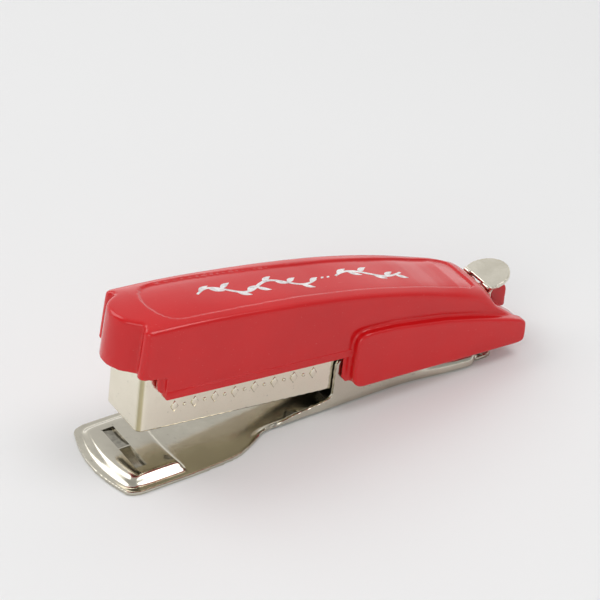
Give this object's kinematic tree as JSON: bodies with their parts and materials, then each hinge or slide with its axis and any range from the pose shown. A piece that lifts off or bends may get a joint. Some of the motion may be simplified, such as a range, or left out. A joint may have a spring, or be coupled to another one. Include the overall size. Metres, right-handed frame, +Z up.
{
  "type": "mini stapler",
  "caption": "Pocket stapler: glossy red press-down cover on a nickel-plated staple channel and anvil base, with a round pull tab on a follower rod at the rear.",
  "frame": {"origin": "bottom centre of the bounding box at rest, on the surface the base stands on", "axes": "+X along the length from the nose to the pull tab, +Y to the stapler's right seen from the nose (away from the viewer in side view), +Z up"},
  "size_m": [0.0847, 0.0222, 0.0303],
  "materials": {
    "nickel_base": "nickel plated pressed steel, glossy with fine wear",
    "nickel_channel": "nickel plated pressed steel, glossy with fine wear",
    "nickel_tab": "nickel plated pressed steel, glossy with fine wear",
    "nickel_studs": "nickel plated",
    "steel_inner": "plain rolled steel",
    "steel_rivets": "plain steel heads",
    "spring_steel": "bright drawn spring wire and strip",
    "red_plastic": "polished moulded plastic, slightly scuffed"
  },
  "bodies": {
    "base": {"base_plate": "nickel_base", "pivot_stud_left": "nickel_studs", "pivot_stud_right": "nickel_studs", "lift_spring": "spring_steel", "lift_spring_rivet": "steel_rivets"},
    "magazine": {"magazine_channel": "nickel_channel", "staple_rail": "steel_inner", "rail_rivet_front": "steel_rivets", "rail_rivet_rear": "steel_rivets", "spring_bridge": "steel_inner", "cover_spring": "spring_steel", "cover_spring_rivet": "steel_rivets"},
    "cover": {"cover_shell": "red_plastic", "handle_plate": "steel_inner", "handle_rivet_front": "steel_rivets", "handle_rivet_rear": "steel_rivets"},
    "driver": {"driver_blade": "steel_inner"},
    "follower": {"pull_tab": "nickel_tab", "follower_rod": "steel_inner", "rod_collar": "steel_inner", "rod_guide": "steel_inner", "pusher_spring": "spring_steel"},
    "pusher": {"pusher": "steel_inner"}
  },
  "joints": [
    {"name": "magazine_hinge", "type": "hinge", "parent": "base", "child": "magazine", "pos_m": [0.02765, 0, 0.006], "axis": [0, -1, 0], "range_deg": [-8, 5.5], "stiffness_Nm_per_rad": 0.6, "springref_deg": -0.83, "deforming": ["lift_spring"]},
    {"name": "cover_hinge", "type": "hinge", "parent": "magazine", "child": "cover", "pos_m": [0.02765, 0, 0.006], "axis": [0, 1, 0], "range_deg": [-5.6, 0], "stiffness_Nm_per_rad": 1, "springref_deg": 8.59, "deforming": ["cover_spring"]},
    {"name": "driver_slide", "type": "slide", "parent": "magazine", "child": "driver", "axis": [0.1174, 0, 0.9931], "range_m": [-0.0062, 0]},
    {"name": "tab_slide", "type": "slide", "parent": "magazine", "child": "follower", "axis": [0.9931, 0, -0.1174], "range_m": [0, 0.028]},
    {"name": "pusher_slide", "type": "slide", "parent": "follower", "child": "pusher", "axis": [0.9931, 0, -0.1174], "range_m": [0, 0.022], "stiffness_N_per_m": 60, "springref_m": -0.015, "deforming": ["pusher_spring"]}
  ],
  "couplings": [
    {"joint": "driver_slide", "follows": "cover_hinge", "m_per_rad": 0.0625}
  ]
}
